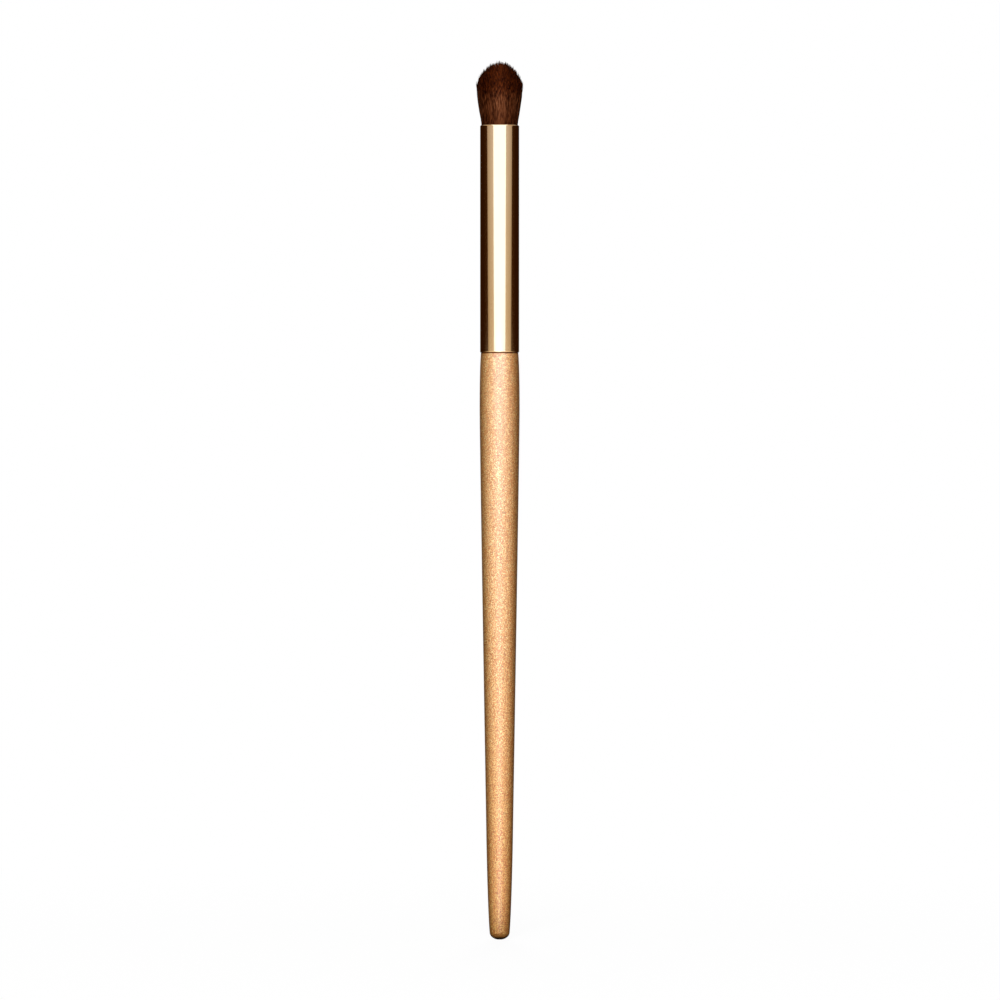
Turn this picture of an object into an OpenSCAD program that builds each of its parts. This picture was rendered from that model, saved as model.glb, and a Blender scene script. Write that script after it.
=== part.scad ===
// Eyeshadow brush: a domed tuft of filaments, bonded in a long drawn ferrule on a turned handle.
// Sizes are in millimetres. +Z runs along the brush towards the bristles, and the origin is the
// centre of the flat at the tail's end.

/* [Handle] */
// Length of handle that shows, from the tail's end to the ferrule
handle_len = 117.4; // [100:0.1:140]
// Diameter where the tail's rounded end begins
tail_d = 4; // [3.4:0.05:4.8]
// Height of the tail's rounded end
tail_round_h = 1.5; // [1:0.1:2.4]
// Diameter of the small flat that is left at the end
tail_flat_d = 1; // [0.6:0.1:1.6]
// Diameter where the flared tail passes into the long taper
waist_d = 5.3; // [4.9:0.05:6.2]
// Height of that place above the tail's end
waist_z = 20; // [12:0.5:30]
// How far the finger swell stands proud of the ferrule, on each side
swell_rise = 0.1; // [0.02:0.01:0.5]
// Distance from the swell's widest place up to the ferrule
swell_drop = 11.4; // [7:0.1:18]
// How far the shoulder lies inside the ferrule's outside, on each side
shoulder_step = 0.16; // [0.05:0.01:0.25]
// Radius on the shoulder's edge
shoulder_round = 0.1; // [0.03:0.01:0.15]

/* [Tenon] */
// Air space left in the ferrule between the tenon's end and the resin
air_gap = 4.25; // [1:0.25:6]
// Chamfer on the tenon's end
tenon_chamfer = 0.6; // [0.2:0.1:1.2]
// Thickness of the adhesive film round the tenon
film = 0.1; // [0.05:0.01:0.2]
// Length of tenon that stays bare of adhesive next to the shoulder
film_gap = 1; // [0.5:0.1:1.5]
// Length of tenon that stays bare of adhesive at its end
film_end_gap = 2; // [1:0.1:3]
// Number of turned grooves that key the adhesive
groove_count = 3; // [1:1:3]
// Radius of the round-bottomed tool that turns the grooves
groove_r = 0.7; // [0.5:0.05:0.8]
// Depth of the grooves
groove_depth = 0.3; // [0.15:0.05:0.4]
// Distance from one groove to the next
groove_pitch = 4; // [3:0.1:4.5]

/* [Ferrule] */
// Outside diameter of the ferrule
ferrule_d = 7.8; // [7:0.05:9]
// Length of the ferrule
ferrule_len = 45.4; // [43:0.1:60]
// Wall thickness of the drawn tube
ferrule_wall = 0.3; // [0.25:0.01:0.45]
// Radius on the outside of the mouth
lip_round = 0.24; // [0.1:0.01:0.24]
// Broken edge at the rear, where the tube was cut
rear_break = 0.06; // [0.02:0.01:0.1]

/* [Tuft] */
// Height of the tuft's widest place above the ferrule's mouth
belly_h = 8.4; // [6:0.1:11]
// Height of the dome above that place
dome_h = 4.2; // [2.5:0.1:7]
// How far the widest place stands proud of the ferrule, on each side
belly_rise = 0.7; // [0.3:0.05:1]
// Number of drawn filaments
strand_count = 400; // [300:20:420]
// Spread of the filaments' lengths at the dome
tip_stagger = 0.2; // [0.1:0.05:0.6]

/* [Roots and resin] */
// Length of the packed roots inside the ferrule
root_len = 18; // [16:0.5:19]
// Depth of the packed roots' top below the mouth
root_drop = 0.15; // [0.1:0.05:0.4]
// Height of the roots' drawn-in length, where the thread binds them
bound_len = 5; // [4:0.5:6]
// How far the thread draws the roots in, on each side
bound_depth = 0.5; // [0.4:0.05:0.7]
// Height over which the roots swell back to the full bore
bound_taper = 4; // [3:0.5:5]
// Thickness of the resin skin between the roots and the wall, where it ends
resin_skin = 0.12; // [0.08:0.01:0.2]
// Height of the resin skin above that swelling
resin_climb = 1; // [0.5:0.1:2]
// Depth of the resin plug below the roots
resin_plug = 3; // [1.5:0.1:3.5]
// Thickness of the binding thread
thread_d = 0.25; // [0.15:0.01:0.3]
// Number of turns of the binding thread
thread_turns = 8; // [4:1:9]
// Height of the lowest turn above the roots' end
thread_up = 1.4; // [1:0.1:2]

/* [Hidden] */
// Facets round the exact turned pieces
$fn = 96;

// Shape shares of the handle's outline: slopes at its stations, and how far each curve's handles
// reach along its own span
tail_slope_share = 0.09;
waist_slope_share = 0.016;
shoulder_slope_share = -0.09;
tail_reach_shares = [0.2, 0.2];
taper_reach_shares = [0.2, 0.08];
swell_reach_shares = [0.65, 0.1];
// Points along each curve of the handle, and round each small arc
curve_steps = 12;
arc_steps = 5;

// Shape shares of the tuft: how it flares and domes, how much of its own room a filament fills at
// its root, and its thickness further up as shares of that
flare_power = 0.85;
dome_power = 2.4;
strand_fill_share = 0.78;
strand_belly_share = 1.2;
strand_neck_share = 1;
// Heights of a filament's sections, as shares of its own height
strand_height_shares = [0.42, 0.9];
strand_sides = 3;
golden_angle = 180 * (3 - sqrt(5));
golden_share = (sqrt(5) - 1) / 2;
// Overlap of the filaments' feet with the packed roots
strand_sink = 0.3;
// Space between the filaments' feet and the bore's wall
bore_clear = 0.08;

ferrule_r = ferrule_d / 2;
bore_r = ferrule_r - ferrule_wall;
swell_r = ferrule_r + swell_rise;
shoulder_r = ferrule_r - shoulder_step;
tenon_r = bore_r - film;
mouth_z = handle_len + ferrule_len;
root_top_z = mouth_z - root_drop;
root_end_z = root_top_z - root_len;
bound_r = bore_r - bound_depth;
resin_top_z = root_end_z + bound_len + bound_taper + resin_climb;
tenon_len = ferrule_len - root_drop - root_len - resin_plug - air_gap;
film_len = tenon_len - film_gap - film_end_gap;
first_groove_z = handle_len + film_gap + (film_len - (groove_count - 1) * groove_pitch) / 2;
strand_r = strand_fill_share * bore_r / sqrt(strand_count);
root_reach = bore_r - strand_r - bore_clear;
belly_reach = ferrule_r + belly_rise - strand_r / 2;

// Point at share t of the cubic curve a, b, c, d
function cubic(a, b, c, d, t) =
  pow(1 - t, 3) * a + 3 * pow(1 - t, 2) * t * b + 3 * (1 - t) * t * t * c + pow(t, 3) * d;

// Curve of [radius, height] points from p to q, which leaves p and reaches q at the given slopes
function span(p, q, p_slope, q_slope, reach) =
  let (
    rise = q[1] - p[1],
    b = p + reach[0] * rise * [p_slope, 1],
    c = q - reach[1] * rise * [q_slope, 1]
  )
  [for (k = [0 : curve_steps - 1]) cubic(p, b, c, q, k / curve_steps)];

// Arc of [radius, height] points about a centre
function arc(centre, r, from, to) =
  [for (k = [0 : arc_steps]) let (a = from + (to - from) * k / arc_steps) centre + r * [cos(a), sin(a)]];

// Rounded end of the tail: a half-dome, cut where it leaves the flat
function tail_end() =
  let (
    r = tail_d / 2,
    flat_angle = acos(tail_flat_d / tail_d),
    lost = tail_round_h * (1 - sin(flat_angle))
  )
  [
    for (k = [0 : arc_steps * 2 - 1])
      let (a = -flat_angle * (1 - k / (arc_steps * 2)))
      [r * cos(a), tail_round_h * (1 + sin(a)) - lost]
  ];

// Groove in the tenon, cut by a round-nosed tool
function groove(z) =
  let (
    centre = [tenon_r - groove_depth + groove_r, z],
    half_angle = acos((groove_r - groove_depth) / groove_r)
  )
  arc(centre, groove_r, 180 + half_angle, 180 - half_angle);

// Outline of the handle, from the tail's flat to the tenon's end
function handle_outline() =
  let (
    tail_start = [tail_d / 2, tail_round_h * sin(acos(tail_flat_d / tail_d))],
    waist = [waist_d / 2, waist_z],
    swell = [swell_r, handle_len - swell_drop],
    shoulder = [shoulder_r, handle_len - shoulder_round],
    tenon_end_z = handle_len + tenon_len
  )
  concat(
    [[0, 0]],
    tail_end(),
    span(tail_start, waist, tail_slope_share, waist_slope_share, tail_reach_shares),
    span(waist, swell, waist_slope_share, 0, taper_reach_shares),
    span(swell, shoulder, 0, shoulder_slope_share, swell_reach_shares),
    arc([shoulder_r - shoulder_round, handle_len - shoulder_round], shoulder_round, 0, 90),
    [[tenon_r, handle_len]],
    [for (g = [0 : groove_count - 1]) each groove(first_groove_z + g * groove_pitch)],
    [
      [tenon_r, tenon_end_z - tenon_chamfer],
      [tenon_r - tenon_chamfer, tenon_end_z],
      [0, tenon_end_z],
    ]
  );

// Outline of the ferrule's wall, with its rounded mouth and broken rear edge
function ferrule_outline() = concat(
  [
    [bore_r, handle_len],
    [ferrule_r - rear_break, handle_len],
    [ferrule_r, handle_len + rear_break],
  ],
  arc([ferrule_r - lip_round, mouth_z - lip_round], lip_round, 0, 90),
  [[bore_r, mouth_z]]
);

// Outline of the packed roots: full in the mouth, drawn in below where the thread binds them
function root_outline() =
  let (skin_r = bore_r - resin_skin)
  [
    [0, root_end_z],
    [bound_r, root_end_z],
    [bound_r, root_end_z + bound_len],
    [skin_r, root_end_z + bound_len + bound_taper],
    [skin_r, resin_top_z],
    [bore_r, resin_top_z],
    [bore_r, root_top_z],
    [0, root_top_z],
  ];

// Outline of the winding: close turns, each bedded against the next
function winding_outline() =
  let (r = thread_d / 2, start = root_end_z + thread_up)
  concat(
    [[bound_r, start]],
    [
      for (n = [0 : thread_turns - 1], k = [0 : arc_steps])
        if (k < arc_steps || n == thread_turns - 1)
          let (a = -90 + 180 * k / arc_steps)
          [bound_r + r + r * cos(a), start + (2 * n + 1 + sin(a)) * r]
    ],
    [[bound_r, start + thread_turns * thread_d]]
  );

// Distance from the axis, at height h above the mouth, of a filament that leaves the roots at a
// given share of their radius
function reach(share, h) =
  share * (
    h <= 0 ? root_reach :
    h >= belly_h ? belly_reach :
    root_reach + (belly_reach - root_reach) * pow(h / belly_h, flare_power)
  );

// Height above the mouth at which such a filament meets the dome
function tip_height(share) =
  belly_h + dome_h * pow(1 - share * share, 1 / dome_power);

// Section of a filament: its corners about a centre at height h
function section(share, angle, h, r) =
  let (c = reach(share, h))
  [
    for (s = [0 : strand_sides - 1])
      let (a = angle + 360 * s / strand_sides)
      [c * cos(angle) + r * cos(a), c * sin(angle) + r * sin(a), mouth_z + h]
  ];

module handle() {
  color("burlywood")
    rotate_extrude() polygon(handle_outline());
}

module ferrule() {
  color([0.80, 0.69, 0.49])
    rotate_extrude() polygon(ferrule_outline());
}

// One tapered filament, from the packed roots to its tip on the dome
module strand(index) {
  share = sqrt((index + 0.5) / strand_count);
  angle = index * golden_angle;
  shorter = tip_stagger * (index * golden_share - floor(index * golden_share));
  top = tip_height(share) - shorter;
  foot = -root_drop - strand_sink;
  belly = top * strand_height_shares[0];
  neck = top * strand_height_shares[1];
  n = strand_sides;
  points = concat(
    section(share, angle, foot, strand_r),
    section(share, angle, belly, strand_r * strand_belly_share),
    section(share, angle, neck, strand_r * strand_neck_share),
    section(share, angle, top, 0)
  );
  polyhedron(
    points = [for (k = [0 : 3 * n]) points[k]],
    faces = concat(
      [[for (s = [0 : n - 1]) s]],
      [
        for (ring = [0, n], s = [0 : n - 1], half = [0, 1])
          let (a = ring + s, b = ring + (s + 1) % n)
          half == 0 ? [a, a + n, b] : [b, a + n, b + n]
      ],
      [for (s = [0 : n - 1]) [2 * n + s, 3 * n, 2 * n + (s + 1) % n]]
    )
  );
}

module bristle_tuft() {
  color([0.24, 0.11, 0.06])
    union() {
      rotate_extrude() polygon(root_outline());
      for (index = [0 : strand_count - 1])
        strand(index);
    }
}

module binding_thread() {
  color("oldlace")
    rotate_extrude() polygon(winding_outline());
}

// Resin cast in the ferrule behind and round the bound roots
module root_resin() {
  color([0.78, 0.60, 0.28])
    difference() {
      translate([0, 0, root_end_z - resin_plug])
        cylinder(r = bore_r, h = resin_top_z - root_end_z + resin_plug);
      rotate_extrude() polygon(root_outline());
      rotate_extrude() polygon(winding_outline());
    }
}

// Film of adhesive round the tenon, which also fills its grooves
module tenon_adhesive() {
  color([0.93, 0.90, 0.80])
    difference() {
      translate([0, 0, handle_len + film_gap])
        cylinder(r = bore_r, h = film_len);
      rotate_extrude() polygon(handle_outline());
    }
}

handle();
ferrule();
bristle_tuft();
binding_thread();
root_resin();
tenon_adhesive();
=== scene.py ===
"""Eyeshadow brush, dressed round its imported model.

A turned wooden handle, a drawn gold-tone ferrule and a domed tuft of brown filaments stand upright on
a pale floor, in soft studio light. Every size is in metres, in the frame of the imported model. Only
the finishes measure in millimetres.
"""

import logging
import math
from collections.abc import Mapping, Sequence
from dataclasses import dataclass, replace
from enum import Enum

import bpy
import numpy as np
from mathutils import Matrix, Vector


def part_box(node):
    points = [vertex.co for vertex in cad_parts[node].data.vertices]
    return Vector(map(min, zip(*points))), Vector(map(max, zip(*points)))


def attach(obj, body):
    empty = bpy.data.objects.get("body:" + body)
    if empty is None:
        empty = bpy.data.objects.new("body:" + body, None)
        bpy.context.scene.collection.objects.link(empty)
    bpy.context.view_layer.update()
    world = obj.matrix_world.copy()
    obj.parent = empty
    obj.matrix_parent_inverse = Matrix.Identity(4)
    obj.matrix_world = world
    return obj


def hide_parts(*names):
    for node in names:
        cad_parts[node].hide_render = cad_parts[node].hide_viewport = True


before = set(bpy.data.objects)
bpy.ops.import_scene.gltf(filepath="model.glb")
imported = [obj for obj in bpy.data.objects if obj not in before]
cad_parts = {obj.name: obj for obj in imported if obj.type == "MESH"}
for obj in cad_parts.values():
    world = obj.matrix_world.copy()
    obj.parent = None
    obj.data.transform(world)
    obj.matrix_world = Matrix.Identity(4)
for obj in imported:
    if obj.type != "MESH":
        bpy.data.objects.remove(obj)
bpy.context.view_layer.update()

LOG = logging.getLogger("eyeshadow_brush")
MM = 0.001
BODY = "root"

HALF_TURN, QUARTER_TURN = 180.0, 90.0
GOLDEN_ANGLE = math.pi * (3 - math.sqrt(5))

# The colour sockets of a Mix node, by number.
MIX_FIRST, MIX_SECOND, MIX_RESULT = 6, 7, 2

Point = tuple[float, float]
Limits = tuple[float, float]
Axes = tuple[float, float, float]
Colour = tuple[float, float, float]
Stops = Sequence[tuple[float, Colour]]
Input = "Signal | float | Sequence[float]"

BLACK: Colour = (0.0, 0.0, 0.0)
WHITE: Colour = (1.0, 1.0, 1.0)


def rgba(colour: Colour) -> tuple[float, float, float, float]:
    """Gives a colour its full opacity, as Blender's colour sockets want it."""
    return (*colour, 1.0)


@dataclass(frozen=True)
class Noise:
    """A noise texture: its lumps to a millimetre, its octaves and how strong the finer ones are.

    It is turned about Y, in radians, and then stretched along the axes.
    """

    lumps: float
    octaves: float = 2.0
    roughness: float = 0.5
    stretch: Axes = (1.0, 1.0, 1.0)
    turn: float = 0.0


class Signal:
    """One output of a shader node, whose arithmetic adds Math nodes."""

    def __init__(self, tree: "ShaderTree", socket: bpy.types.NodeSocket) -> None:
        """Wraps an output socket of a tree."""
        self.tree = tree
        self.socket = socket

    def _math(self, operation: str, first: Input, second: Input) -> "Signal":
        """Adds one Math node and gives its result."""
        return self.tree.node("ShaderNodeMath", {"operation": operation}, {0: first, 1: second})

    def __add__(self, other: Input) -> "Signal":
        """Adds a number or a signal."""
        return self._math("ADD", self, other)

    def __sub__(self, other: Input) -> "Signal":
        """Takes a number or a signal away."""
        return self._math("SUBTRACT", self, other)

    def __rsub__(self, other: Input) -> "Signal":
        """Is taken from a number."""
        return self._math("SUBTRACT", other, self)

    def __mul__(self, other: Input) -> "Signal":
        """Multiplies by a number or a signal."""
        return self._math("MULTIPLY", self, other)

    def at_least(self, other: Input) -> "Signal":
        """Gives the larger of the two."""
        return self._math("MAXIMUM", self, other)

    def size(self) -> "Signal":
        """Gives the value without its sign."""
        return self.tree.node("ShaderNodeMath", {"operation": "ABSOLUTE"}, {0: self})

    def between(self, low: float, high: float) -> "Signal":
        """Runs smoothly from 0 at the low value to 1 at the high one."""
        inputs = {"Value": self, "From Min": low, "From Max": high}
        return self.tree.node("ShaderNodeMapRange", {"interpolation_type": "SMOOTHSTEP"}, inputs)

    def across(self, start: float, end: float) -> "Signal":
        """Runs evenly from one value to another while this goes from 0 to 1."""
        return self * (end - start) + start

    def output(self, name: str) -> "Signal":
        """Gives another output of the same node."""
        return Signal(self.tree, self.socket.node.outputs[name])


class ShaderTree:
    """A node tree that is written as expressions."""

    def __init__(self, owner: bpy.types.Material | bpy.types.World) -> None:
        """Empties the owner's tree and takes it over.

        Args:
            owner: The material or world.
        """
        owner.use_nodes = True
        self.tree = owner.node_tree
        self.tree.nodes.clear()

    def node(
        self,
        kind: str,
        settings: Mapping[str, object] | None = None,
        inputs: Mapping[str | int, Input] | None = None,
        output: str | int = 0,
    ) -> Signal:
        """Adds any node.

        Args:
            kind: The node's type.
            settings: Its own settings, with a ramp's stops under "stops".
            inputs: Values or signals for its sockets.
            output: The output that is wanted.

        Returns:
            That output.
        """
        made = self.tree.nodes.new(kind)
        for name, value in (settings or {}).items():
            if name == "stops":
                self._set_stops(made.color_ramp, value)
            else:
                setattr(made, name, value)
        for key, value in (inputs or {}).items():
            if isinstance(value, Signal):
                self.tree.links.new(value.socket, made.inputs[key])
            else:
                made.inputs[key].default_value = value
        return Signal(self, made.outputs[output]) if made.outputs else Signal(self, made.inputs[0])

    @staticmethod
    def _set_stops(ramp: bpy.types.ColorRamp, stops: Stops) -> None:
        """Sets a ramp's stops.

        Args:
            ramp: The ramp.
            stops: Its positions and colours, in order.
        """
        while len(ramp.elements) < len(stops):
            ramp.elements.new(1.0)
        for element, (position, colour) in zip(ramp.elements, stops, strict=True):
            element.position = position
            element.color = rgba(colour)

    def mix(self, share: Input, first: Input, second: Input, blend: str = "MIX") -> Signal:
        """Mixes a share of a second colour into the first."""
        inputs = {0: share, MIX_FIRST: first, MIX_SECOND: second}
        return self.node("ShaderNodeMix", {"data_type": "RGBA", "blend_type": blend}, inputs, MIX_RESULT)

    def tinted(self, share: Input, colour: Signal, tint: Input) -> Signal:
        """Multiplies a colour by a share of a tint."""
        return self.mix(share, colour, tint, "MULTIPLY")

    def ramp(self, signal: Signal, stops: Stops) -> Signal:
        """Turns a signal into a colour through a ramp's stops."""
        return self.node("ShaderNodeValToRGB", {"stops": stops}, {"Fac": signal})

    def spot(self) -> Signal:
        """Gives the place on the object, in metres."""
        return self.node("ShaderNodeTexCoord", output="Object")

    def place(self) -> Signal:
        """Gives the place on the object, in millimetres."""
        inputs = {0: self.spot(), "Scale": 1 / MM}
        return self.node("ShaderNodeVectorMath", {"operation": "SCALE"}, inputs)

    def attribute(self, name: str) -> Signal:
        """Reads a number that the mesh carries at its points."""
        return self.node("ShaderNodeAttribute", {"attribute_name": name}, {}, "Fac")

    def distance(self, spot: Signal) -> Signal:
        """Gives a place's distance from the origin."""
        return self.node("ShaderNodeVectorMath", {"operation": "LENGTH"}, {0: spot}, "Value")

    def height(self, place: Signal) -> Signal:
        """Gives a place's height."""
        return self.node("ShaderNodeSeparateXYZ", {}, {0: place}, "Z")

    def stretched(self, place: Signal, stretch: Axes, turn: float = 0.0) -> Signal:
        """Turns a place about Y and stretches it.

        Args:
            place: The place.
            stretch: The scale along each axis, after the turn.
            turn: The turn, in radians.

        Returns:
            The new place.
        """
        inputs = {"Vector": place, "Angle": turn}
        turned = self.node("ShaderNodeVectorRotate", {"rotation_type": "Y_AXIS"}, inputs)
        return self.node("ShaderNodeMapping", {}, {"Vector": turned, "Scale": stretch})

    def noise(self, place: Signal, texture: Noise) -> Signal:
        """Adds a noise texture.

        Args:
            place: Where it is read, in millimetres.
            texture: The texture.

        Returns:
            The noise, from 0 to 1.
        """
        inputs = {
            "Vector": self.stretched(place, texture.stretch, texture.turn),
            "Scale": texture.lumps,
            "Detail": texture.octaves,
            "Roughness": texture.roughness,
        }
        return self.node("ShaderNodeTexNoise", {}, inputs)

    def cells(self, place: Signal, scale: float) -> Signal:
        """Gives the distance from the nearest of evenly scattered points, so many to a millimetre."""
        return self.node("ShaderNodeTexVoronoi", {}, {"Vector": place, "Scale": scale}, "Distance")

    def bump(self, height: Signal, depth: float, strength: float = 1.0) -> Signal:
        """Turns a height into a normal. A height of 1 stands for the depth, in metres."""
        inputs = {"Height": height, "Distance": depth, "Strength": strength}
        return self.node("ShaderNodeBump", {}, inputs)

    def surface(self, inputs: Mapping[str | int, Input]) -> None:
        """Ends the tree in one Principled shader with those inputs."""
        shader = self.node("ShaderNodeBsdfPrincipled", {}, inputs)
        self.node("ShaderNodeOutputMaterial", {}, {"Surface": shader})


def new_material(name: str) -> tuple[bpy.types.Material, ShaderTree]:
    """Starts a material and gives it with its empty tree."""
    material = bpy.data.materials.new(name)
    return material, ShaderTree(material)


@dataclass(frozen=True)
class VarnishedWood:
    """Pale, fine-grained hardwood under a satin varnish, with end grain at the tail.

    Pale, pearly ray flecks slant both ways through fine mottling. Towards the tail the wood carries a
    painted shade, darker where the light falls off down the handle, and the mottling shows stronger
    there. The very end of the tail is painted near-black, a painted shade where it faces down. A
    painted shadow, a dark band, lies on the wood just below the ferrule's rear edge. A pair of
    limits says between which heights or levels a mark fades in or out. Heights are in millimetres
    above the tail, and the joint's own are taken from the joint. The pairs for metal, roughness and
    coat run from plain wood to the brightest pearl.
    """

    joint_height: float
    tones: Stops = ((0.28, (0.53, 0.168, 0.023)), (0.5, (0.92, 0.392, 0.084)), (0.74, (1.0, 0.77, 0.34)))
    base_tone: float = 0.17
    specks: Noise = Noise(6.6, 1.5, 0.6, (1.0, 1.0, 0.70))
    contrast: float = 2.5
    tail_contrast: float = 0.8
    flecks: Noise = Noise(4.6, 1.0, stretch=(1.4, 1.0, 0.60))
    fleck_turns: Limits = (0.6, -0.6)
    fleck_limits: Limits = (0.55, 0.72)
    fleck_tone: float = 0.70
    grain: Noise = Noise(1.0, 3.0, 0.55, (0.55, 0.55, 0.035))
    grain_tone: float = 0.16
    drift: Noise = Noise(0.16, stretch=(1.0, 1.0, 0.45))
    drift_tone: float = 0.08
    pores: Noise = Noise(4.0, 1.0, stretch=(1.0, 1.0, 0.45))
    pore_limits: Limits = (0.62, 0.72)
    pore: Colour = (0.30, 0.090, 0.015)
    pore_share: float = 0.35
    # Painted shade: between these heights the wood is darkened towards the tail, where the light falls
    # off.
    towards_tail_limits: Limits = (-25.0, 75.0)
    painted_tail_shade_tint: Colour = (0.88, 0.710, 0.410)
    # Painted shadow: a dark band on the wood just below the ferrule, between these heights from the
    # joint.
    joint_shadow_limits: Limits = (-0.34, -0.204)
    painted_joint_shadow: Colour = (0.20, 0.120, 0.075)
    end_limits: Limits = (0.93, 1.17)
    end_share: float = 0.9
    end_grain: Colour = (0.84, 0.352, 0.090)
    # Painted shade: the tail's very end is painted near-black below these heights, where it faces down.
    painted_end_shade_limits: Limits = (0.372, 0.62)
    painted_end_shade: Colour = (0.035, 0.011, 0.002)
    shimmer: Noise = Noise(5.5, 1.0)
    shimmer_limits: Limits = (0.42, 0.66)
    metallic: Limits = (0.47, 0.72)
    roughness: Limits = (0.43, 0.23)
    coat: Limits = (0.85, 1.0)
    coat_roughness: float = 0.36
    coat_ior: float = 2.3
    speck_relief: float = 0.8
    fleck_relief: float = 0.3
    pore_relief: float = -0.5
    depth: float = 0.08 * MM

    def _flecks(self, tree: ShaderTree, place: Signal) -> Signal:
        """Gives 1 on the ray flecks, which slant both ways, and 0 beside them."""
        rise, fall = (tree.noise(place, replace(self.flecks, turn=turn)) for turn in self.fleck_turns)
        return rise.at_least(fall).between(*self.fleck_limits)

    def _colour(
        self, tree: ShaderTree, place: Signal, specks: Signal, flecks: Signal, pores: Signal,
    ) -> Signal:
        """Mixes the wood's colour, with a painted shade that darkens it towards the tail.

        Args:
            tree: The material's tree.
            place: The place on the handle.
            specks: The fine mottling.
            flecks: The ray flecks.
            pores: The pores.

        Returns:
            The colour.
        """
        # Painted shade: the wood darkens towards the tail, and the mottling shows stronger there.
        towards_tail = 1 - tree.height(place).between(*self.towards_tail_limits)
        tone = (specks - 0.5) * (towards_tail * self.tail_contrast + 1) * self.contrast + flecks * self.fleck_tone
        tone = tone + tree.noise(place, self.grain) * self.grain_tone
        tone = tone + tree.noise(place, self.drift) * self.drift_tone + self.base_tone
        colour = tree.mix(pores * self.pore_share, tree.ramp(tone, self.tones), rgba(self.pore))
        # The painted shade towards the tail.
        return tree.tinted(towards_tail, colour, rgba(self.painted_tail_shade_tint))

    def material(self) -> bpy.types.Material:
        """Makes the wood.

        Returns:
            The material.
        """
        material, tree = new_material("varnished_wood")
        place = tree.place()
        specks, flecks = tree.noise(place, self.specks), self._flecks(tree, place)
        pores = tree.noise(place, self.pores).between(*self.pore_limits)
        height = tree.height(place)
        joint = (height - self.joint_height).between(*self.joint_shadow_limits)
        colour = self._colour(tree, place, specks, flecks, pores)
        # Painted shadow below the ferrule's rear edge.
        colour = tree.tinted(joint, colour, rgba(self.painted_joint_shadow))
        end = 1 - height.between(*self.end_limits)
        # End grain at the tail, with a painted shade at the very end, where it faces down.
        end_grain_and_shade = tree.mix(height.between(*self.painted_end_shade_limits), rgba(self.painted_end_shade), rgba(self.end_grain))
        pearl = tree.noise(place, self.shimmer).between(*self.shimmer_limits) * 0.5 + flecks * 0.5
        relief = specks * self.speck_relief + flecks * self.fleck_relief + pores * self.pore_relief
        tree.surface({
            "Base Color": tree.mix(end * self.end_share, colour, end_grain_and_shade),
            "Metallic": pearl.across(*self.metallic),
            "Roughness": pearl.across(*self.roughness),
            "Coat Weight": (1 - end.at_least(joint)) * pearl.across(*self.coat),
            "Coat Roughness": self.coat_roughness,
            "Coat IOR": self.coat_ior,
            "Normal": tree.bump(relief, self.depth),
        })
        return material


@dataclass(frozen=True)
class GoldAnodised:
    """Polished aluminium with a pale gold anodised skin and faint lengthwise drawing lines."""

    skin: Colour = (0.78, 0.57, 0.35)
    deep: Colour = (0.74, 0.53, 0.31)
    bloom: Noise = Noise(0.25, stretch=(1.0, 1.0, 0.4))
    lines: Noise = Noise(6.0, stretch=(1.0, 1.0, 0.02))
    polish: float = 0.07
    bloom_roughness: float = 0.02
    line_roughness: float = 0.05
    depth: float = 0.002 * MM
    strength: float = 0.2

    def material(self) -> bpy.types.Material:
        """Makes the metal.

        Returns:
            The material.
        """
        material, tree = new_material("gold_anodised")
        place = tree.place()
        bloom, lines = tree.noise(place, self.bloom), tree.noise(place, self.lines)
        tree.surface({
            "Base Color": tree.mix(bloom, rgba(self.skin), rgba(self.deep)),
            "Metallic": 1.0,
            "Roughness": lines * self.line_roughness + bloom * self.bloom_roughness + self.polish,
            "Normal": tree.bump(lines, self.depth, self.strength),
        })
        return material


@dataclass(frozen=True)
class BrownFilament:
    """Dark brown synthetic filament, each in its own shade, and darker at its foot and its tip.

    A filament runs from 0 at its foot to 1 at its tip. The drift is long, soft streaks that many
    neighbours share, and the glint is shorter ones that show most near the tips.
    """

    tones: Stops = (
        (0.12, (0.026, 0.0042, 0.0003)), (0.5, (0.085, 0.0198, 0.0047)), (0.9, (0.200, 0.0605, 0.0210)),
    )
    base_tone: float = -0.49
    shade_tone: float = 0.64
    drift: Noise = Noise(5.6, 0.0, stretch=(1.0, 1.0, 0.13))
    drift_tone: float = 1.4
    glint: Noise = Noise(5.6, 0.0, stretch=(1.0, 1.0, 0.24))
    glint_tone: Limits = (0.3, 4.5)
    glint_limits: Limits = (0.45, 0.85)
    foot_tint: Colour = (0.68, 0.60, 0.52)
    foot_limits: Limits = (0.10, 0.60)
    tip_tint: Colour = (0.48, 0.275, 0.085)
    tip_limits: Limits = (0.50, 0.92)
    metallic: float = 0.74
    roughness: Limits = (0.34, 0.49)
    specular: float = 0.08

    def material(self) -> bpy.types.Material:
        """Makes the filament.

        Returns:
            The material.
        """
        material, tree = new_material("brown_filament")
        shade, along = tree.attribute("shade"), tree.attribute("along")
        place = tree.place()
        drift = tree.noise(place, self.drift)
        glint = along.between(*self.glint_limits).across(*self.glint_tone)
        glint = glint * (tree.noise(place, self.glint) - 0.5)
        tone = shade * self.shade_tone + drift * self.drift_tone + glint + self.base_tone
        colour = tree.ramp(tone, self.tones)
        colour = tree.tinted(1 - along.between(*self.foot_limits), colour, rgba(self.foot_tint))
        tree.surface({
            "Base Color": tree.tinted(along.between(*self.tip_limits), colour, rgba(self.tip_tint)),
            "Metallic": self.metallic,
            "Roughness": drift.across(*self.roughness),
            "Specular IOR Level": self.specular,
        })
        return material


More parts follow.
